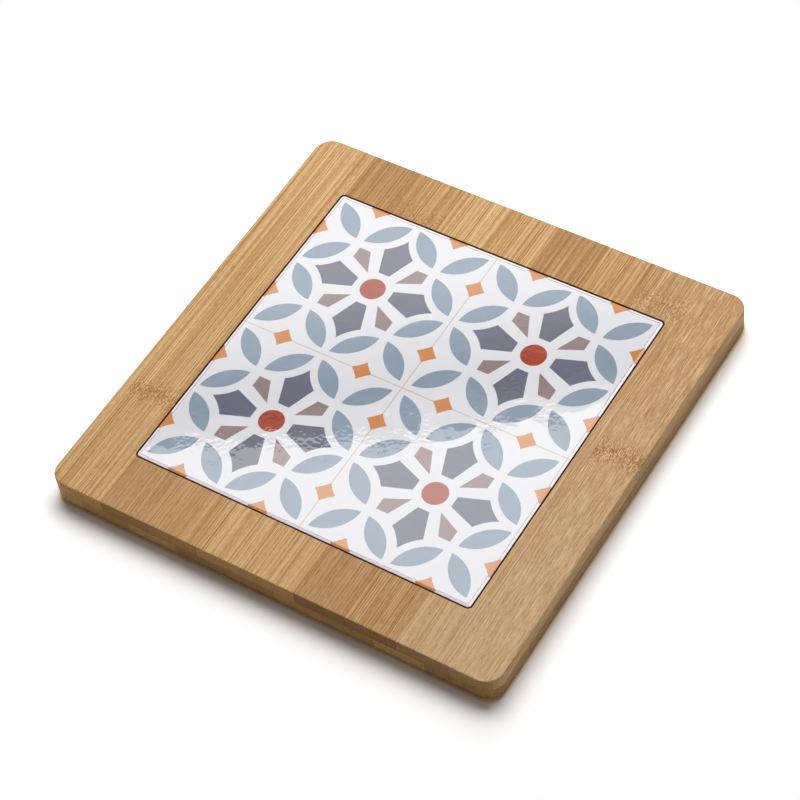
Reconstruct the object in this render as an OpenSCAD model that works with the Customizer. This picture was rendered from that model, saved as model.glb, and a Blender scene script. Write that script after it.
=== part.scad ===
// A square table trivet: a ceramic tile bedded flush in a two-layer board of bamboo slats.
// The board's underside lies in the XY plane's middle, resting on four thin pads at z = 0.
// X runs across the slats, Y runs along the grain and Z is up. All sizes are in millimetres.

/* [Board] */
// Side of the square board
board_side = 200; // [184:1:230]
// Radius of the board's four outer corners, seen from above
board_corner_r = 7.5; // [3:0.5:12]
// Thickness of the bottom layer of slats
base_ply_t = 6; // [4:0.5:12]
// Rounding of the board's top outer edge
top_ease_r = 0.7; // [0.3:0.1:1.5]
// Rounding of the board's bottom outer edge
base_ease_r = 1; // [0.3:0.1:2]

/* [Slats] */
// Number of slats that the tile's window cuts in two
cut_slats = 6; // [4:1:9]
// How far the window bites into the slat on its left
bite_w = 1.3; // [0.5:0.1:4]
// Width of wood that is left between the window and the first seam on its right
bridge_w = 4.8; // [3:0.1:10]
// Width of the ripped strip along the left side of the top layer
top_first_w = 3.6; // [2:0.1:8]
// Number of slats of equal width in the bottom layer
base_equal_slats = 8; // [6:1:12]
// Width of the ripped slat along the left side of the bottom layer
base_first_w = 15.4; // [4:0.1:20]
// Width of the ripped slat along the right side of the bottom layer
base_last_w = 7.8; // [4:0.1:20]

/* [Tile] */
// Side of the square tile
tile_side = 150; // [130:1:156]
// Thickness of the tile from the ribs of its back to its glaze
tile_t = 5.6; // [4.5:0.1:9]
// Radius of the tile's four corners, seen from above
tile_corner_r = 1.4; // [1.3:0.1:4]
// Width of the band along the tile's edge where the glaze falls away from the flat face
glaze_slope_w = 1.1; // [0.6:0.1:1.2]
// Angle in degrees at which that band slopes down
glaze_tilt = 12; // [4:1:25]
// Rounding of the glaze where it rolls over the tile's top edge
glaze_ease_r = 0.3; // [0.1:0.05:0.5]
// How far the glazed face stands above the wood
tile_proud = 0.1; // [0:0.05:0.5]
// Gap between the tile and the wood on each side
tile_gap = 0.6; // [0.3:0.1:2]
// Radius that the router leaves in the corners of the tile's window
window_corner_r = 2; // [1:0.5:6]
// Width of each shallow groove in the tile's back
groove_w = 8; // [4:0.5:14]
// Width of the rib between two grooves
rib_w = 4; // [2:0.5:8]
// Depth of the grooves
groove_depth = 0.8; // [0.3:0.1:1.5]
// Width of the plain rim round the grooves
back_rim_w = 6; // [3:0.5:12]

/* [Adhesive] */
// Thickness of the adhesive between the tile and the bottom layer
bed_t = 0.5; // [0.3:0.1:1.5]
// Diameter of each flattened dab of adhesive
dab_d = 26; // [12:1:40]
// Distance of the four outer dabs from the tile's middle, along X and along Y
dab_reach = 48; // [30:1:52]

/* [Pads] */
// Diameter of each non-slip pad
pad_d = 14; // [8:0.5:20]
// Thickness of each pad, which lifts the board off the table
pad_t = 1; // [0.8:0.1:3]
// Distance from the board's side to the middle of a pad
pad_inset = 18; // [14:1:40]
// Rounding of a pad's lower rim
pad_ease_r = 0.3; // [0.1:0.1:0.5]

/* [Hidden] */
$fn = 64;
// How far a cutting solid runs past what it cuts
overrun = 1;

// The top layer is as thick as the tile's bed is deep, so that the tile lies flush
top_ply_t = tile_t + bed_t - tile_proud;
window_side = tile_side + 2 * tile_gap;
base_z = pad_t;
top_z = base_z + base_ply_t;
board_half = board_side / 2;
window_half = window_side / 2;

// The seams of the top layer stand round the window: one just inside its left edge, one past its right
top_slat_w = (window_side - bite_w + bridge_w) / (cut_slats + 1);
top_seams = concat(
    [-board_half + top_first_w],
    [for (k = [0:cut_slats + 1]) -window_half + bite_w + k * top_slat_w]
);
// The seams of the bottom layer fall between those of the top layer, as in brickwork
base_slat_w = (board_side - base_first_w - base_last_w) / base_equal_slats;
base_seams = [for (k = [0:base_equal_slats]) -board_half + base_first_w + k * base_slat_w];

// The two sides of every slat between seams. The outer ones run past the board, whose edge trims them
function slat_spans(seams) = let (
    sides = concat([-board_half - overrun], seams, [board_half + overrun])
) [for (i = [0:len(sides) - 2]) [sides[i], sides[i + 1]]];

top_spans = slat_spans(top_seams);
base_spans = slat_spans(base_seams);

// Slats by their place from the left, counted from 0: those that the window cuts, and the others
first_cut = 2;
cut_places = [first_cut:first_cut + cut_slats - 1];
whole_places = [0, 1, first_cut + cut_slats, first_cut + cut_slats + 1];

// Name of each pad, and the side of the board that it is on along X and along Y
pads = [
    ["pad_front_left", -1, -1],
    ["pad_front_right", 1, -1],
    ["pad_back_left", -1, 1],
    ["pad_back_right", 1, 1]
];
// Name of each end of a cut slat, and the side of the window that it is on along Y
slat_ends = [["front", -1], ["back", 1]];

function base_name(i) = str("base_slat_", i + 1);
function whole_name(i) = str("top_slat_", i + 1);
function end_name(i, end) = str("top_slat_", i + 1, "_", end[0]);

// Half of a slab's section, from its middle out to reach, rounded at the upper outer corner
module edge_half(reach, t, ease_r) {
    square([reach, t - ease_r]);
    square([reach - ease_r, t]);
    translate([reach - ease_r, t - ease_r])
        intersection() {
            circle(r = ease_r);
            square(ease_r);
        }
}

// Half of the tile's section. The glaze slopes down towards the edge, then rolls over it with no crease between
module glazed_half(reach) {
    roll_drop = (glaze_ease_r + (glaze_slope_w - glaze_ease_r) * sin(glaze_tilt)) / cos(glaze_tilt);
    roll = [reach - glaze_ease_r, tile_t - roll_drop];
    slope_end = roll + glaze_ease_r * [sin(glaze_tilt), cos(glaze_tilt)];
    past_r = 2 * glaze_ease_r;
    polygon([
        [0, 0],
        [reach, 0],
        [reach, roll[1]],
        roll,
        slope_end,
        [reach - glaze_slope_w, tile_t],
        [0, tile_t]
    ]);
    translate(roll)
        intersection() {
            circle(r = glaze_ease_r);
            polygon([[0, 0], [past_r, 0], [past_r, past_r], [past_r * tan(glaze_tilt), past_r]]);
        }
}

// A square slab standing on z = 0, with round corners and a rounding all round its top edge
module eased_slab(side, t, corner_r, ease_r) {
    straight = side - 2 * corner_r;
    for (turn = [0:90:270])
        rotate([90, 0, turn])
            linear_extrude(straight, center = true)
                edge_half(side / 2, t, ease_r);
    for (x = [-1, 1], y = [-1, 1])
        translate([x * straight / 2, y * straight / 2, 0])
            rotate_extrude()
                edge_half(corner_r, t, ease_r);
}

// The tile without the grooves of its back
module glazed_slab() {
    straight = tile_side - 2 * tile_corner_r;
    for (turn = [0:90:270])
        rotate([90, 0, turn])
            linear_extrude(straight, center = true)
                glazed_half(tile_side / 2);
    for (x = [-1, 1], y = [-1, 1])
        translate([x * straight / 2, y * straight / 2, 0])
            rotate_extrude()
                glazed_half(tile_corner_r);
}

// A flat square with round corners
module rounded_square(side, corner_r) {
    straight = side - 2 * corner_r;
    square([side, straight], center = true);
    square([straight, side], center = true);
    for (x = [-1, 1], y = [-1, 1])
        translate([x * straight / 2, y * straight / 2])
            circle(r = corner_r);
}

// The stretch of one layer between the two sides of a span, with the layer's rounding on top
module slat(span, t, ease_r) {
    intersection() {
        translate([span[0], -board_half - overrun, -overrun])
            cube([span[1] - span[0], board_side + 2 * overrun, t + 2 * overrun]);
        eased_slab(board_side, t, board_corner_r, ease_r);
    }
}

// The opening that the tile lies in, cut right through the top layer
module tile_window() {
    translate([0, 0, -overrun])
        linear_extrude(top_ply_t + 2 * overrun)
            rounded_square(window_side, window_corner_r);
}

module base_slat(i) {
    shade = i % 2;
    color([0.76 - 0.05 * shade, 0.6 - 0.05 * shade, 0.4 - 0.05 * shade])
        translate([0, 0, top_z])
            mirror([0, 0, 1])
                slat(base_spans[i], base_ply_t, base_ease_r);
}

module top_slat(i) {
    shade = i % 3;
    color([0.82 - 0.05 * shade, 0.66 - 0.06 * shade, 0.44 - 0.06 * shade])
        translate([0, 0, top_z])
            difference() {
                slat(top_spans[i], top_ply_t, top_ease_r);
                tile_window();
            }
}

// The end of a cut slat on one side of the window
module top_slat_end(i, side) {
    span = top_spans[i];
    intersection() {
        top_slat(i);
        translate([span[0] - overrun, side < 0 ? -board_side : 0, 0])
            cube([span[1] - span[0] + 2 * overrun, board_side, top_z + top_ply_t + overrun]);
    }
}

// The tile, glaze up, with ribs along Y on its back
module ceramic_tile() {
    grooved = tile_side - 2 * back_rim_w;
    grooves = floor((grooved + rib_w) / (groove_w + rib_w));
    first_x = -(grooves - 1) * (groove_w + rib_w) / 2;
    color([0.93, 0.93, 0.94])
        translate([0, 0, top_z + bed_t])
            difference() {
                glazed_slab();
                for (k = [0:grooves - 1])
                    translate([first_x + k * (groove_w + rib_w) - groove_w / 2, -grooved / 2, -overrun])
                        cube([groove_w, grooved, groove_depth + overrun]);
            }
}

// Dabs of adhesive under the tile: one in the middle and four towards its corners
module adhesive() {
    places = concat([[0, 0]], [for (x = [-1, 1], y = [-1, 1]) [x, y] * dab_reach]);
    color([0.9, 0.88, 0.82])
        for (place = places)
            translate([place[0], place[1], top_z])
                cylinder(h = bed_t, d = dab_d);
}

// A flat round pad under one corner of the board
module pad(x_side, y_side) {
    reach = board_half - pad_inset;
    color([0.16, 0.15, 0.14])
        translate([x_side * reach, y_side * reach, pad_t])
            mirror([0, 0, 1])
                rotate_extrude()
                    edge_half(pad_d / 2, pad_t, pad_ease_r);
}

for (i = [0:len(base_spans) - 1])
    base_slat(i);
for (i = whole_places)
    top_slat(i);
for (i = cut_places, end = slat_ends)
    top_slat_end(i, end[1]);
adhesive();
ceramic_tile();
for (pad = pads)
    pad(pad[1], pad[2]);
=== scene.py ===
"""The looks of a square bamboo trivet with a printed ceramic tile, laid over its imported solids.

Shader sums are in millimetres in the part's own frame: X across the slats, Y along the grain, Z up.
The lights, the floor's mesh and the camera are placed in metres.
"""

import math

import bpy
from mathutils import Matrix, Vector


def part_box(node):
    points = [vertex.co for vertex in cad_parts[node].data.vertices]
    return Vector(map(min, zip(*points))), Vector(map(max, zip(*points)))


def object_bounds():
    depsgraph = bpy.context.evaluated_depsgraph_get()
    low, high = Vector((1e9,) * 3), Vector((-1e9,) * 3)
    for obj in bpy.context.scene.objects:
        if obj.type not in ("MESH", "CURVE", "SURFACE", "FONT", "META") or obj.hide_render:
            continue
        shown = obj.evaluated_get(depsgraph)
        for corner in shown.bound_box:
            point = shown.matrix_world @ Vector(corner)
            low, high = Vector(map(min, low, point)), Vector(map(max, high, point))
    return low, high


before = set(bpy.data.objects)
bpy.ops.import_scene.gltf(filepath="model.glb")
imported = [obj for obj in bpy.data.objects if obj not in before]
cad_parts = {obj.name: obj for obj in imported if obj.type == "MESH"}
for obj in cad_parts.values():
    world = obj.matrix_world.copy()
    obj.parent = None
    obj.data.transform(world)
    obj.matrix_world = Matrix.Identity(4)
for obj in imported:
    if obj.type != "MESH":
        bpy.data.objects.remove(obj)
cad_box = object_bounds()

MM = 0.001
TILE = "ceramic_tile"
PADS = ("pad_front_left", "pad_front_right", "pad_back_left", "pad_back_right")
# The slats of the top layer that the tile's window doesn't cut in two
WHOLE_SLATS = (1, 2, 9, 10)


# Shader sums

class Field:
    """A number that varies over a surface, held as a socket, so a pattern reads as a formula."""

    def __init__(self, tree, socket):
        self.tree = tree
        self.socket = socket

    def math(self, operation, *others):
        node = self.tree.nodes.new("ShaderNodeMath")
        node.operation = operation
        for place, item in zip(node.inputs, (self, *others)):
            feed(self.tree, item, place)
        return Field(self.tree, node.outputs[0])

    def __add__(self, other):
        return self.math("ADD", other)

    def __sub__(self, other):
        return self.math("SUBTRACT", other)

    def __mul__(self, other):
        return self.math("MULTIPLY", other)

    def __truediv__(self, other):
        return self.math("DIVIDE", other)

    def __abs__(self):
        return self.math("ABSOLUTE")

    def least(self, other):
        return self.math("MINIMUM", other)

    def most(self, other):
        return self.math("MAXIMUM", other)

    def squared(self):
        return self * self

    def root(self):
        return self.math("SQRT")

    def ramp(self, start, end):
        """0 up to start and 1 from end on, with a smooth rise between. start may lie above end."""
        node = self.tree.nodes.new("ShaderNodeMapRange")
        node.interpolation_type = "SMOOTHSTEP"
        for name, item in (("Value", self), ("From Min", start), ("From Max", end)):
            feed(self.tree, item, node.inputs[name])
        return Field(self.tree, node.outputs["Result"])


def feed(tree, item, socket):
    """Puts a field, a socket or a constant into a socket. A constant colour has three channels."""
    if isinstance(item, Field):
        tree.links.new(item.socket, socket)
    elif isinstance(item, bpy.types.NodeSocket):
        tree.links.new(item, socket)
    elif socket.type == "RGBA":
        socket.default_value = (*item, 1.0)
    else:
        socket.default_value = item


def vector(x, y, z):
    node = x.tree.nodes.new("ShaderNodeCombineXYZ")
    for place, item in zip(node.inputs, (x, y, z)):
        feed(x.tree, item, place)
    return Field(x.tree, node.outputs[0])


def length(a, b):
    return (a.squared() + b.squared()).root()


def noise(place, detail, roughness=0.5):
    """Noise of about one unit across at a place in space. Its middle value is 0.5."""
    node = place.tree.nodes.new("ShaderNodeTexNoise")
    feed(place.tree, place, node.inputs["Vector"])
    for name, value in (("Scale", 1.0), ("Detail", detail), ("Roughness", roughness)):
        node.inputs[name].default_value = value
    return Field(place.tree, node.outputs["Fac"])


def even_noise(place, size, detail):
    """Noise of about size across. A place of only two axes gives the same at any depth."""
    x, y, z = (*(axis / size for axis in place), 0.0)[:3]
    return noise(vector(x, y, z), detail)


def colour_mix(share, under, over, blend_type="MIX"):
    """The colour under, covered by the colour over, or multiplied by it, where share is 1."""
    node = share.tree.nodes.new("ShaderNodeMix")
    node.data_type = "RGBA"
    node.blend_type = blend_type
    colours = [socket for socket in node.inputs if socket.type == "RGBA"]
    for item, socket in zip((share, under, over), (node.inputs["Factor"], *colours)):
        feed(share.tree, item, socket)
    return next(socket for socket in node.outputs if socket.type == "RGBA")


def tinted(colour, amount):
    """A colour times a number, or times one number for each channel."""
    amounts = amount if isinstance(amount, tuple) else (amount,) * 3
    return tuple(c * a for c, a in zip(colour, amounts))


def axes(tree, socket):
    """The three parts of a vector."""
    split = tree.nodes.new("ShaderNodeSeparateXYZ")
    tree.links.new(socket, split.inputs[0])
    return [Field(tree, part) for part in split.outputs]


def surface_place(tree):
    """Where the surface is along X, Y and Z, in millimetres."""
    coordinates = tree.nodes.new("ShaderNodeTexCoord")
    return [axis / MM for axis in axes(tree, coordinates.outputs["Object"])]


def surface_normal(tree):
    """How much the surface faces along X, along Y and up."""
    geometry = tree.nodes.new("ShaderNodeNewGeometry")
    return axes(tree, geometry.outputs["Normal"])


def new_material(name):
    """A material with one Principled shader, and the surface's place in millimetres."""
    material = bpy.data.materials.new(name)
    material.use_nodes = True
    tree = material.node_tree
    return material, tree, tree.nodes["Principled BSDF"], surface_place(tree)


def stage_material(name):
    """A material with no shader yet, and the socket that its shader goes into."""
    material = bpy.data.materials.new(name)
    material.use_nodes = True
    tree = material.node_tree
    tree.nodes.clear()
    return material, tree, tree.nodes.new("ShaderNodeOutputMaterial").inputs["Surface"]


def relief(tree, shader, height, depth):
    """Raises the surface by depth millimetres where height goes from 0 to 1."""
    bump = tree.nodes.new("ShaderNodeBump")
    bump.inputs["Distance"].default_value = depth * MM
    feed(tree, height, bump.inputs["Height"])
    tree.links.new(bump.outputs["Normal"], shader.inputs["Normal"])


def dress(node, material):
    """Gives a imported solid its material."""
    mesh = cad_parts[node].data
    mesh.materials.clear()
    mesh.materials.append(material)


# Bamboo

class Slat:
    """How one slat looks.

    tone: the colour of its wood
    end: how bright its end grain is
    grain: how strongly it is streaked
    drift: how much darker it grows towards its back end
    run: how long its fibres are, as a share of the longest
    knuckle: where it lies along the grain, how dark its pits are and how strong its speckle is
    """

    def __init__(self, tone, end, grain=1.0, drift=0.0, run=1.0, knuckle=None):
        self.tone, self.end, self.grain = tone, end, grain
        self.drift, self.run, self.knuckle = drift, run, knuckle


PALE = (0.585, 0.350, 0.144)
HONEY = (0.518, 0.292, 0.112)
BROWN = (0.470, 0.260, 0.099)
# ROSY and SAND, the tones of the two right-hand top slats, hold painted light as well as the wood's
# tone: they are paler to make up for the weaker light at the board's right front
ROSY = (0.552, 0.336, 0.154)
SAND = (0.560, 0.347, 0.164)
UMBER = (0.396, 0.226, 0.083)
# The slats of each layer, from left to right
SLATS = {
    "base": (
        Slat(PALE, 1.05),
        Slat(HONEY, 1.0),
        Slat(PALE, 1.05),
        Slat(BROWN, 0.92),
        Slat(HONEY, 0.9),
        Slat(HONEY, 1.08),
        Slat(HONEY, 1.0),
        Slat(PALE, 1.08),
        Slat(BROWN, 0.9),
        Slat(UMBER, 1.22),
    ),
    "top": (
        Slat(PALE, 1.1, drift=0.02),
        Slat(PALE, 1.2, grain=0.85, drift=0.02, knuckle=(-47.5, 0.9, 0.55)),
        Slat(BROWN, 0.95, grain=0.95, drift=0.07),
        Slat(HONEY, 1.08, drift=0.02, knuckle=(77.5, 0.2, 0.45)),
        Slat(PALE, 1.15, grain=0.9, drift=0.04),
        Slat(PALE, 1.1, drift=0.05, run=0.8),
        Slat(BROWN, 0.78, grain=0.95, drift=0.04, run=0.8),
        Slat(HONEY, 0.74, grain=1.05, run=0.6),
        Slat(ROSY, 0.78, grain=0.62, drift=0.09, run=0.25, knuckle=(82.0, 0.3, 0.5)),
        Slat(SAND, 0.9, grain=0.55, drift=0.09, run=0.14, knuckle=(10.0, 0.8, 0.65)),
    ),
}
LAYER_SEED = {"base": 20, "top": 0}

# What the tone is multiplied by in the streaks, pores and glue lines
STREAK_DARK = (0.68, 0.57, 0.36)
STREAK_PALE = (1.24, 1.36, 1.66)
PORE = (0.40, 0.25, 0.15)
GLUE = (0.55, 0.46, 0.36)
# What the colour is multiplied by on the end grain, the left and right faces and the lower
# rounding. On the lower rounding and the underside it is painted warm light that lifts their shade
END_GRAIN = {"base": (0.97, 0.95, 0.78), "top": (0.82, 0.72, 0.50)}
SIDE_TINT = (0.98, 0.95, 0.82)
DOWNWARD_PAINTED_LIGHT = (1.10, 1.14, 0.92)
# The window's walls are painted dark: painted shade that stands for the deep gap round the tile
WINDOW_HALF = 75.6
PAINTED_WALL_SHADE = (0.300, 0.095, 0.010)

# Each kind of mark in the grain: its width across the fibres, its length along them and its seed
FIBRE = (0.40, 120.0, 2)
LINE = (0.27, 90.0, 7)
PATCH = (3.0, 70.0, 8)
THREAD = (0.36, 7.0, 3)
FLECK = (0.40, 2.2, 6)
KNOT = (0.40, 1.15, 4)
PIT = (0.65, 0.9, 5)
SEED_SHIFT = (17.3, 5.1, 9.7)
# How much each mark lightens or darkens the wood. A lift or sink brings the mean back to its tone
FIBRE_WEIGHT, FIBRE_LIFT = 1.25, 0.045
LINE_WEIGHT, PALE_LINE_WEIGHT, LINE_SINK = 2.2, 0.8, 0.12
FLECK_WEIGHT = 0.8
KNOT_WEIGHT, KNOT_SINK = 8.0, 0.35
# The lines are stronger in some patches than in others
PATCH_LEAST, PATCH_RISE = 0.65, 0.5
# A mark sets in where its noise goes from the first of these values to the second
PALE_LINE_EDGE = (0.55, 0.66)
PATCH_EDGE = (0.35, 0.65)
PORE_EDGE = (0.37, 0.29)
PIT_EDGE = (0.455, 0.39)
PORE_SHARE = 0.4
# Distance behind the board's middle at which a slat's drift has its full value
DRIFT_REACH = 70.0
# A knuckle is a band of speckle that sways across the slat, with a row of pits along its middle
KNUCKLE_REACH = 9.0
KNUCKLE_SHARE = 0.8
KNUCKLE_SWAY, KNUCKLE_SWAY_W = 7.0, 11.0
PIT_ROW_REACH = 4.6
# The glue shows between these distances from a seam, from its faint edge to its full tone
GLUE_LINE_W = (0.16, 0.048)
GLUE_SHARE = 0.75
# How far the board's own sides, which have no glue, are put out of the way, in metres
OUT_OF_REACH = 1.0
# The walls' painted shade ends between these distances outside the window, and sets in over this
# height
WALL_EDGE = (0.05, 0.02)
WALL_RISE = 0.1
# How far a face has to turn sideways, down or upright before its colour differs
SIDEWAYS = (0.4, 0.9)
DOWNWARD = (-0.1, -0.6)
UPRIGHT = (0.6, 0.3)
WOOD_SHEEN = 0.15
WOOD_ROUGHNESS, WOOD_ROUGHNESS_SPREAD = 0.5, 0.5
WOOD_RELIEF, PORE_RELIEF = 0.05, 0.6


def marks(place, kind, seed, run=1.0, detail=1.0, roughness=0.5):
    """Noise for one kind of mark, drawn out along the grain."""
    x, y, z = place
    across, along, own_seed = kind
    shift_x, shift_y, shift_z = ((seed + own_seed) * shift for shift in SEED_SHIFT)
    stretched = vector(x / across + shift_x, y / (along * run) + shift_y, z / across + shift_z)
    return noise(stretched, detail, roughness)


def near(value, middle, reach):
    """1 at the middle, falling to 0 at reach to either side."""
    return abs(value - middle).ramp(reach, 0.0)


def streaks(place, slat, seed):
    """The slat's fibres, how light the wood is, 0 being its own tone, and where its pores are."""
    fibre = marks(place, FIBRE, seed, slat.run, detail=2.0, roughness=0.6)
    line = marks(place, LINE, seed, slat.run)
    patch = marks(place, PATCH, seed).ramp(*PATCH_EDGE) * PATCH_RISE + PATCH_LEAST
    pale_line = line.ramp(*PALE_LINE_EDGE) * PALE_LINE_WEIGHT
    coarse = (fibre - 0.5) * FIBRE_WEIGHT + FIBRE_LIFT
    fine = ((line - 0.5) * LINE_WEIGHT + pale_line - LINE_SINK) * patch
    fleck = (marks(place, FLECK, seed) - 0.5) * FLECK_WEIGHT
    light = (coarse + fine) * slat.grain + fleck - place[1] * (slat.drift / DRIFT_REACH)
    pores = marks(place, THREAD, seed).ramp(*PORE_EDGE) * PORE_SHARE * slat.grain
    return fibre, light, pores


def with_knuckle(place, knuckle, seed, light, pores):
    """Lightness and pores, with the speckle and the pits of a knuckle added."""
    x, y, z = place
    middle, pit_depth, speckle = knuckle
    wave = noise(vector(x / KNUCKLE_SWAY_W + seed, z / KNUCKLE_SWAY_W, 0.0), detail=1.0)
    along = y + (wave - 0.5) * KNUCKLE_SWAY
    in_band = near(along, middle, KNUCKLE_REACH).least(KNUCKLE_SHARE)
    knot = (marks(place, KNOT, seed) - 0.5) * KNOT_WEIGHT - KNOT_SINK
    pits = near(along, middle, PIT_ROW_REACH) * marks(place, PIT, seed).ramp(*PIT_EDGE)
    return light + in_band * speckle * knot, pores.most(pits * pit_depth)


def glued_sides(node):
    """The slat's left and right sides. The board's own, which have no glue, go out of reach."""
    low, high = (corner.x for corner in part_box(node))
    board_low, board_high = (corner[0] for corner in cad_box)
    if low < board_low + MM:
        low -= OUT_OF_REACH
    if high > board_high - MM:
        high += OUT_OF_REACH
    return low / MM, high / MM


def bamboo(node, slat, layer, number, glued_z):
    """Bamboo with its fibres along Y. glued_z is the height at which the two layers meet."""
    material, tree, shader, place = new_material(f"bamboo_{node}")
    x, y, z = place
    facing = surface_normal(tree)
    seed = number + LAYER_SEED[layer]
    fibre, light, pores = streaks(place, slat, seed)
    if slat.knuckle:
        light, pores = with_knuckle(place, slat.knuckle, seed, light, pores)
    dark, pale = tinted(slat.tone, STREAK_DARK), tinted(slat.tone, STREAK_PALE)
    colour = colour_mix((light + 0.5).ramp(0.0, 1.0), dark, pale)
    colour = colour_mix(pores, colour, tinted(slat.tone, PORE))

    left, right = glued_sides(node)
    seam = abs(x - left).least(abs(x - right)).least(abs(z - glued_z))
    colour = colour_mix(seam.ramp(*GLUE_LINE_W) * GLUE_SHARE, colour, tinted(slat.tone, GLUE))
    # Painted shade: the window's walls are darkened like the shadowed gap round the tile
    in_window = abs(x).most(abs(y)).ramp(*(WINDOW_HALF + past for past in WALL_EDGE))
    wall_shade = in_window * abs(facing[2]).ramp(*UPRIGHT) * z.ramp(glued_z, glued_z + WALL_RISE)
    colour = colour_mix(wall_shade, colour, PAINTED_WALL_SHADE)

    for share, tint in (
        (abs(facing[1]).ramp(*SIDEWAYS), tinted(END_GRAIN[layer], slat.end)),
        (abs(facing[0]).ramp(*SIDEWAYS), SIDE_TINT),
        # Painted warm light on faces turned down
        (facing[2].ramp(*DOWNWARD), DOWNWARD_PAINTED_LIGHT),
    ):
        colour = colour_mix(share, colour, tint, "MULTIPLY")
    feed(tree, colour, shader.inputs["Base Color"])

    feed(tree, (fibre - 0.5) * WOOD_ROUGHNESS_SPREAD + WOOD_ROUGHNESS, shader.inputs["Roughness"])
    shader.inputs["Specular IOR Level"].default_value = WOOD_SHEEN
    relief(tree, shader, fibre - pores * PORE_RELIEF, WOOD_RELIEF)
    return material


# Printed tile

WHITE = (0.745, 0.737, 0.762)
# The unprinted rim, whiter and pinker than the tile's white with a painted reflection
RIM_WHITE_AND_REFLECTION = (0.90, 0.85, 0.90)
SLATE = (0.158, 0.158, 0.208)
PETAL = (0.265, 0.331, 0.404)
TAUPE = (0.290, 0.219, 0.217)
RED = (0.380, 0.066, 0.036)
ORANGE = (0.610, 0.246, 0.080)
TAN = (0.500, 0.330, 0.180)
EDGE_LINE = (0.46, 0.36, 0.40)
# The fired body's colour, darkened with painted shade so that the gap round the tile reads dark
SHADED_BISCUIT = (0.100, 0.024, 0.005)
# The glaze thins where it rolls over the tile's edge, and the fired body warms it. Its dark brown
# is also painted shade of the gap round the tile
THIN_GLAZE_AND_SHADE = (0.26, 0.06, 0.02)

# The print's middle for the petals and diamonds, and for the flowers, which lie a little apart
PETAL_PLACE = (-0.12, 0.06)
FLOWER_PLACE = (0.28, 0.24)
CELL_HALF = 37.2
PRINT_SOFT = 0.13
DOT_R = 5.3
PETAL_L, PETAL_W = 20.6, 7.75
PETAL_STEP = 18.2
SIDE_PETAL_SHIFT = 0.25
# A slate kite: its flat inner end, its wide corner, and the circle that hollows its outer side
KITE_START, KITE_START_HALF_W = 8.45, 2.5
KITE_WIDE, KITE_WIDE_HALF_W = 20.1, 6.8
KITE_HOLLOW_R = 20.8
# A taupe kite: its tip near the middle, and its side corner, which its outer edge runs through
SMALL_KITE_TIP = (6.4, 6.4)
SMALL_KITE_SIDE = (16.3, 11.1)
# An orange diamond, hollowed by four circles
DIAMOND_STEP = 18.6
DIAMOND_HOLLOW_R = 23.30
DIAMOND_REACH = 6.0
# The thin line between the squares, the line along the tile's edge, and the paler rim outside that,
# whose extra brightness and pink are a painted reflection
TAN_LINE_HALF_W = 0.17
EDGE_LINE_HALF_W = (0.32, 0.12)
EDGE_LINE_INSET, PALE_RIM_INSET = 1.2, 0.9
LINE_SHARE = 0.8
# The inks vary by a few parts in a hundred
WASH_SIZE = 9.0
WASH = (0.93, 1.07)

# How far below the top of the tile the glaze thins, and how far below it the body lies bare
THIN_DEPTH = (0.12, 0.30)
BARE_DEPTH = (0.30, 0.45)
GRIT_SIZE = 0.4
GRIT = (0.85, 1.12)
GLAZE_ROUGHNESS, BODY_ROUGHNESS = 0.015, 0.715
GLAZE_IOR = 1.46
# The glaze swells gently all over, and its ripple is livelier in some places than in others
SWELL_SIZE, SWELL_WEIGHT = 6.0, 1.5
RIPPLE_SIZE, RIPPLE_LEAST, RIPPLE_RISE = 1.7, 0.4, 1.3
LIVELY_SIZE, LIVELY_SHIFT = 16.0, 48.0
LIVELY_EDGE = (0.42, 0.62)
GLAZE_RELIEF = 0.012


def inked(distance):
    """1 where a printed shape is, from the distance to its outline, which is less than 0 inside."""
    return distance.ramp(PRINT_SOFT, -PRINT_SOFT)


def petal(u, v, middle, slope):
    """Distance to a leaf of two arcs, centred at middle, along the diagonal of that slope."""
    bulge_r = (PETAL_L ** 2 / 4 + PETAL_W ** 2 / 4) / PETAL_W
    across_shift = bulge_r - PETAL_W / 2
    du, dv = u - middle[0], (v - middle[1]) * slope
    along = (du + dv) * math.sqrt(0.5)
    across = abs((du - dv) * math.sqrt(0.5))
    return length(along, across + across_shift) - bulge_r


def beyond_line(u, v, start, end):
    """Distance past the left of the line from start to end."""
    run = Vector((end[0] - start[0], end[1] - start[1])).normalized()
    return (v - start[1]) * run.x - (u - start[0]) * run.y


def folded(x, y, middle):
    """Distances to the print's two middle lines, and the place in a square folded to an eighth."""
    from_line_x, from_line_y = abs(x - middle[0]), abs(y - middle[1])
    a, b = abs(from_line_x - CELL_HALF), abs(from_line_y - CELL_HALF)
    return from_line_x, from_line_y, a.most(b), a.least(b)


def flower_shapes(x, y):
    """Distances to the slate kites, the taupe kites and the red dots."""
    _, _, u, v = folded(x, y, FLOWER_PLACE)
    wide_side = beyond_line(u, v, (KITE_START, KITE_START_HALF_W), (KITE_WIDE, KITE_WIDE_HALF_W))
    hollow = length(u - CELL_HALF, v - DIAMOND_STEP) * -1.0 + KITE_HOLLOW_R
    kite = (u * -1.0 + KITE_START).most(wide_side).most(hollow)
    small_side = beyond_line(u, v, SMALL_KITE_TIP, SMALL_KITE_SIDE) * -1.0
    small_kite = (u - SMALL_KITE_SIDE[0]).most(small_side)
    return kite, small_kite, length(u, v) - DOT_R


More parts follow.
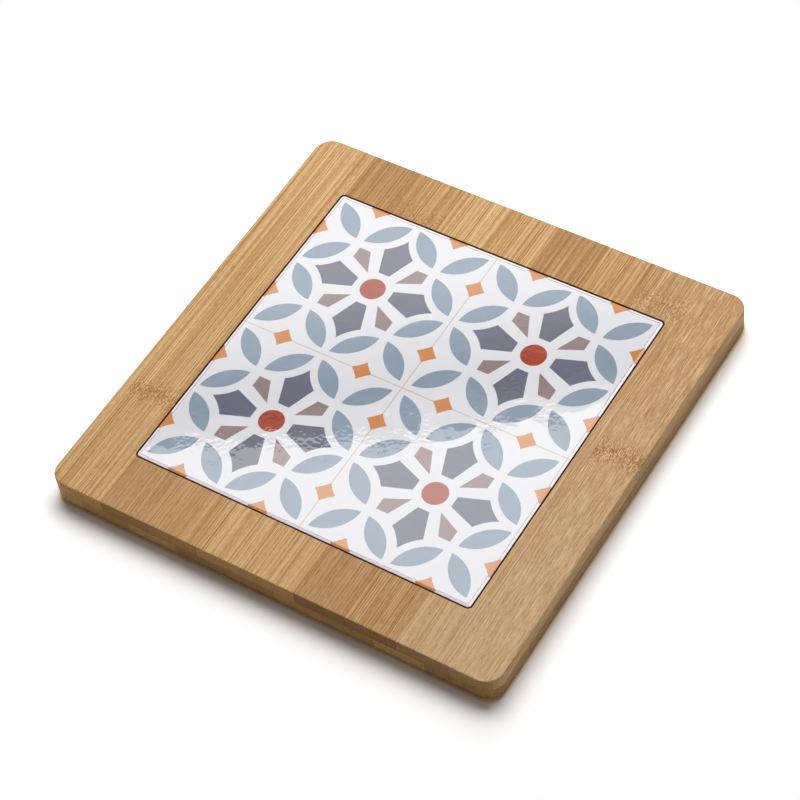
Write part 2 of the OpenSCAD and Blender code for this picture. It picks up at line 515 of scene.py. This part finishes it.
def petal_shapes(x, y):
    """Distances to the diamonds, the petals and the thin line between the squares."""
    from_line_x, from_line_y, u, v = folded(x, y, PETAL_PLACE)
    p, q = abs(u - CELL_HALF), abs(v - DIAMOND_STEP)
    hollow = length(p - DIAMOND_STEP, q - DIAMOND_STEP) * -1.0 + DIAMOND_HOLLOW_R
    diamond = hollow.most(p + q - DIAMOND_REACH)
    inner, outer = PETAL_STEP * 0.5, PETAL_STEP * 1.5
    side_petal = petal(u, v, (outer + SIDE_PETAL_SHIFT, inner), -1.0)
    corner_petal = petal(u, v, (outer, outer), 1.0)
    line = from_line_x.least(from_line_y) - TAN_LINE_HALF_W
    return diamond, side_petal.least(corner_petal), line


def print_pattern(x, y, tile_half):
    """The colour of the print: four equal squares, each of eight mirrored parts."""
    kite, small_kite, dot = flower_shapes(x, y)
    diamond, petals, line = petal_shapes(x, y)
    from_middle = abs(x).most(abs(y))
    edge_line = tile_half - EDGE_LINE_INSET
    rim = from_middle.ramp(edge_line, tile_half - PALE_RIM_INSET)
    edge = abs(from_middle - edge_line).ramp(*EDGE_LINE_HALF_W)

    # The rim is the unprinted glaze, with a painted reflection
    colour = colour_mix(rim, WHITE, RIM_WHITE_AND_REFLECTION)
    colour = colour_mix(inked(line) * LINE_SHARE, colour, TAN)
    colour = colour_mix(edge * LINE_SHARE, colour, EDGE_LINE)
    wash = even_noise((x, y), WASH_SIZE, detail=3.0)
    for shape, ink in ((kite, SLATE), (small_kite, TAUPE), (diamond, ORANGE), (petals, PETAL)):
        washed = colour_mix(wash, *(tinted(ink, amount) for amount in WASH))
        colour = colour_mix(inked(shape), colour, washed)
    return colour_mix(inked(dot), colour, RED)


def glazed_tile():
    """A printed and glazed face that rolls over the tile's edge, on a dull fired body, with painted
    shade on the rolled edge and the body.
    """
    material, tree, shader, (x, y, z) = new_material("glazed_tile")
    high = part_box(TILE)[1]
    depth = z * -1.0 + high.z / MM
    bare = depth.ramp(*BARE_DEPTH)
    grit = even_noise((x, y, z), GRIT_SIZE, detail=3.0)
    body = colour_mix(grit, *(tinted(SHADED_BISCUIT, amount) for amount in GRIT))
    # Thin glaze with painted shade on the rolled edge
    colour = colour_mix(depth.ramp(*THIN_DEPTH), print_pattern(x, y, high.x / MM), THIN_GLAZE_AND_SHADE)
    feed(tree, colour_mix(bare, colour, body), shader.inputs["Base Color"])
    roughness = bare * (BODY_ROUGHNESS - GLAZE_ROUGHNESS) + GLAZE_ROUGHNESS
    feed(tree, roughness, shader.inputs["Roughness"])
    shader.inputs["IOR"].default_value = GLAZE_IOR

    swell = even_noise((x, y), SWELL_SIZE, detail=0.0)
    ripple = even_noise((x, y), RIPPLE_SIZE, detail=0.7)
    lively = even_noise((x + LIVELY_SHIFT, y), LIVELY_SIZE, detail=0.0).ramp(*LIVELY_EDGE)
    height = ripple * (lively * RIPPLE_RISE + RIPPLE_LEAST) + swell * SWELL_WEIGHT
    relief(tree, shader, height, GLAZE_RELIEF)
    return material


# Rubber and adhesive

RUBBER_DARK, RUBBER_PALE = (0.012, 0.011, 0.010), (0.030, 0.028, 0.026)
RUBBER_GRAIN_SIZE, RUBBER_SMEAR_SIZE = 0.3, 5.0
RUBBER_ROUGHNESS, RUBBER_RELIEF = 0.6, 0.03
SILICONE_DARK, SILICONE_PALE = (0.62, 0.60, 0.52), (0.80, 0.78, 0.70)
SILICONE_CLOUD_W, SILICONE_CLOUD_T = 6.0, 2.0
SILICONE_ROUGHNESS, SILICONE_RELIEF = 0.3, 0.1
# How much rougher rubber and adhesive are where their noise is highest
ROUGHNESS_RISE = 0.3


def rubber():
    material, tree, shader, place = new_material("pad_rubber")
    grain = even_noise(place, RUBBER_GRAIN_SIZE, detail=3.0)
    smear = even_noise(place, RUBBER_SMEAR_SIZE, detail=2.0)
    feed(tree, colour_mix(smear, RUBBER_DARK, RUBBER_PALE), shader.inputs["Base Color"])
    feed(tree, smear * ROUGHNESS_RISE + RUBBER_ROUGHNESS, shader.inputs["Roughness"])
    relief(tree, shader, grain, RUBBER_RELIEF)
    return material


def silicone():
    material, tree, shader, (x, y, z) = new_material("adhesive")
    flattened = vector(x / SILICONE_CLOUD_W, y / SILICONE_CLOUD_W, z / SILICONE_CLOUD_T)
    cloud = noise(flattened, detail=3.0)
    feed(tree, colour_mix(cloud, SILICONE_DARK, SILICONE_PALE), shader.inputs["Base Color"])
    feed(tree, cloud * ROUGHNESS_RISE + SILICONE_ROUGHNESS, shader.inputs["Roughness"])
    relief(tree, shader, cloud, SILICONE_RELIEF)
    return material


# Light, floor and camera

BOARD_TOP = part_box("top_slat_10")[1].z
# The softboxes hang flat above the board. Their facing edges run along one line in the glaze
CARD_HEIGHT = 1.0
CARD_ACROSS = Vector((-0.57, 0.82, 0.0)).normalized()
CARD_ALONG = Vector((0.82, 0.57, 0.0)).normalized()
CARD_MIDDLE = 0.12
CARD_COLUMNS = 16
KEY_EDGE, KEY_DEPTH, KEY_HALF_W = 0.732, 0.65, 0.52
KEY_BOW, KEY_BOW_MIDDLE, KEY_BOW_REACH = 0.015, -0.044, 0.194
# A corner of the first softbox is cut away, or else the tile's front edge would mirror it
KEY_CUT, KEY_CUT_START, KEY_CUT_REACH = 0.26, -0.08, 0.19
KEY_STRENGTH = 6.0
REAR_EDGE, REAR_FEATHER, REAR_DEPTH, REAR_HALF_W = 0.775, 0.150, 0.75, 0.55
REAR_STRENGTH = 3.9
FILL_PLACE = Vector((1.20, 0.15, 0.35))
FILL_SIDE = 0.6
FILL_POWER = 0.75
# The world's strength for the light that falls on things, and for what the camera and mirrors see
AMBIENT = 0.115
MIRRORED = 1.0

FLOOR_HALF = 3.0
# The floor lies a hair below the pads, so that no two faces share one plane
FLOOR_DROP = 0.00005
# The floor's colour for the light that it throws back, and for what the camera and mirrors see
FLOOR_COLOUR = 0.80
FLOOR_SHOWN = 1.24
# In millimetres outside the board: where the floor turns white, and where the painted warm bounce
# light at the foot ends
BOARD_CORNER_R = 7.5
WHITE_REACH = (22.0, 60.0)
FOOT_REACH = 1.5
FOOT_BOUNCE_TINT = (1.0, 0.84, 0.62)

CAMERA_AIM = Vector((0.0023, -0.0053, BOARD_TOP))
CAMERA_DISTANCE = 0.9888
CAMERA_AZIMUTH = math.radians(38.95)
CAMERA_ELEVATION = math.radians(52.04)
CAMERA_ROLL = math.radians(9.28)
CAMERA_LENS = 114.9
CAMERA_CLIP_START = 0.05


def placed(name, data):
    """A new object in the scene."""
    thing = bpy.data.objects.new(name, data)
    bpy.context.scene.collection.objects.link(thing)
    return thing


def card_point(across, along):
    return CARD_ACROSS * across + CARD_ALONG * along + Vector((0.0, 0.0, BOARD_TOP + CARD_HEIGHT))


def strip(name, near_edge, far_edge, half_w):
    """A flat mesh between two edges, each given as how far across it lies at a place along."""
    places = [CARD_MIDDLE + half_w * (2 * i / CARD_COLUMNS - 1) for i in range(CARD_COLUMNS + 1)]
    points = [card_point(edge(place), place) for edge in (near_edge, far_edge) for place in places]
    row = len(places)
    faces = [(i, i + 1, row + i + 1, row + i) for i in range(CARD_COLUMNS)]
    mesh = bpy.data.meshes.new(name)
    mesh.from_pydata(points, [], faces)
    card = placed(name, mesh)
    card.visible_camera = False
    return card


def glow(card, strength, fade=None):
    """Makes a card shine evenly, or rising from nothing over the two distances across in fade."""
    material, tree, surface = stage_material(card.name)
    emission = tree.nodes.new("ShaderNodeEmission")
    if fade:
        coordinates = tree.nodes.new("ShaderNodeTexCoord")
        across = tree.nodes.new("ShaderNodeVectorMath")
        across.operation = "DOT_PRODUCT"
        tree.links.new(coordinates.outputs["Object"], across.inputs[0])
        across.inputs[1].default_value = CARD_ACROSS
        strength = Field(tree, across.outputs["Value"]).ramp(*fade) * strength
    feed(tree, strength, emission.inputs["Strength"])
    tree.links.new(emission.outputs[0], surface)
    card.data.materials.append(material)


def light_studio():
    """A softbox over the board, a soft-edged one further back, and a fill light on the right."""
    def key_edge(along):
        return KEY_EDGE + KEY_BOW * min(1.0, abs(along - KEY_BOW_MIDDLE) / KEY_BOW_REACH) ** 2

    def key_back(along):
        cut = min(1.0, max(0.0, (KEY_CUT_START - along) / KEY_CUT_REACH))
        return KEY_EDGE - KEY_DEPTH + KEY_CUT * cut

    glow(strip("key_softbox", key_edge, key_back, KEY_HALF_W), KEY_STRENGTH)
    rear = strip("rear_softbox", lambda _: REAR_EDGE, lambda _: REAR_EDGE + REAR_DEPTH, REAR_HALF_W)
    glow(rear, REAR_STRENGTH, fade=(REAR_EDGE, REAR_EDGE + REAR_FEATHER))

    lamp = bpy.data.lights.new("fill_light", "AREA")
    lamp.size = FILL_SIDE
    lamp.energy = FILL_POWER
    fill = placed("fill_light", lamp)
    fill.location = FILL_PLACE
    fill.rotation_euler = (-FILL_PLACE).to_track_quat("-Z", "Y").to_euler()


def seen_directly(tree):
    """1 for what is seen, also mirrored or through glass, and 0 for light that falls on things."""
    path = tree.nodes.new("ShaderNodeLightPath")
    camera, glossy, through = (
        Field(tree, path.outputs[name])
        for name in ("Is Camera Ray", "Is Glossy Ray", "Is Transmission Ray")
    )
    return camera.most(glossy).most(through)


def make_world():
    world = bpy.data.worlds.new("studio")
    world.use_nodes = True
    tree = world.node_tree
    background = tree.nodes["Background"]
    feed(tree, (1.0, 1.0, 1.0), background.inputs["Color"])
    feed(tree, seen_directly(tree) * (MIRRORED - AMBIENT) + AMBIENT, background.inputs["Strength"])
    bpy.context.scene.world = world


def outside_board(x, y):
    """How far outside the board a place on the floor is."""
    straight = cad_box[1][0] / MM - BOARD_CORNER_R
    past_x, past_y = ((abs(axis) - straight).most(0.0) for axis in (x, y))
    return length(past_x, past_y) - BOARD_CORNER_R


def floor_material():
    """Pale and matt, with painted warm bounce light from the wood at its foot, and plain white
    further out.
    """
    material, tree, surface = stage_material("floor")
    x, y, _ = surface_place(tree)
    outside = outside_board(x, y)
    seen = seen_directly(tree)
    tone = seen * (FLOOR_SHOWN - FLOOR_COLOUR) + FLOOR_COLOUR
    # Painted warm bounce light from the wood on the floor at its foot
    foot = outside.ramp(FOOT_REACH, 0.0)
    colour = colour_mix(foot, vector(tone, tone, tone), FOOT_BOUNCE_TINT, "MULTIPLY")
    matt = tree.nodes.new("ShaderNodeBsdfDiffuse")
    feed(tree, colour, matt.inputs["Color"])
    white = tree.nodes.new("ShaderNodeEmission")
    blend = tree.nodes.new("ShaderNodeMixShader")
    feed(tree, outside.ramp(*WHITE_REACH) * seen, blend.inputs[0])
    tree.links.new(matt.outputs[0], blend.inputs[1])
    tree.links.new(white.outputs[0], blend.inputs[2])
    tree.links.new(blend.outputs[0], surface)
    return material


def make_floor():
    mesh = bpy.data.meshes.new("floor")
    sides = ((-1, -1), (1, -1), (1, 1), (-1, 1))
    corners = [(x * FLOOR_HALF, y * FLOOR_HALF, -FLOOR_DROP) for x, y in sides]
    mesh.from_pydata(corners, [], [(0, 1, 2, 3)])
    mesh.materials.append(floor_material())
    floor = placed("floor", mesh)


def make_camera():
    """A camera on the photograph's side of the board, tilted about its own line of sight."""
    camera = bpy.data.cameras.new("camera")
    camera.lens = CAMERA_LENS
    camera.sensor_fit = "HORIZONTAL"
    camera.clip_start = CAMERA_CLIP_START
    flat = math.cos(CAMERA_ELEVATION)
    away = Vector((
        flat * math.sin(CAMERA_AZIMUTH),
        -flat * math.cos(CAMERA_AZIMUTH),
        math.sin(CAMERA_ELEVATION),
    ))
    level = (-away).cross(Vector((0.0, 0.0, 1.0))).normalized()
    upright = away.cross(level)
    right = level * math.cos(CAMERA_ROLL) - upright * math.sin(CAMERA_ROLL)
    top = upright * math.cos(CAMERA_ROLL) + level * math.sin(CAMERA_ROLL)
    turn = Matrix((right, top, away)).transposed().to_4x4()
    holder = placed("camera", camera)
    holder.matrix_world = Matrix.Translation(CAMERA_AIM + away * CAMERA_DISTANCE) @ turn
    bpy.context.scene.camera = holder


# The whole scene

base_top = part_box("base_slat_1")[1].z / MM
for layer, slats in SLATS.items():
    for number, slat in enumerate(slats, start=1):
        cut = layer == "top" and number not in WHOLE_SLATS
        for end in ("_front", "_back") if cut else ("",):
            slat_node = f"{layer}_slat_{number}{end}"
            dress(slat_node, bamboo(slat_node, slat, layer, number, base_top))
dress(TILE, glazed_tile())
dress("adhesive", silicone())
pad_rubber = rubber()
for pad in PADS:
    dress(pad, pad_rubber)

light_studio()
make_world()
make_floor()
make_camera()
bpy.context.scene.view_settings.view_transform = "Standard"
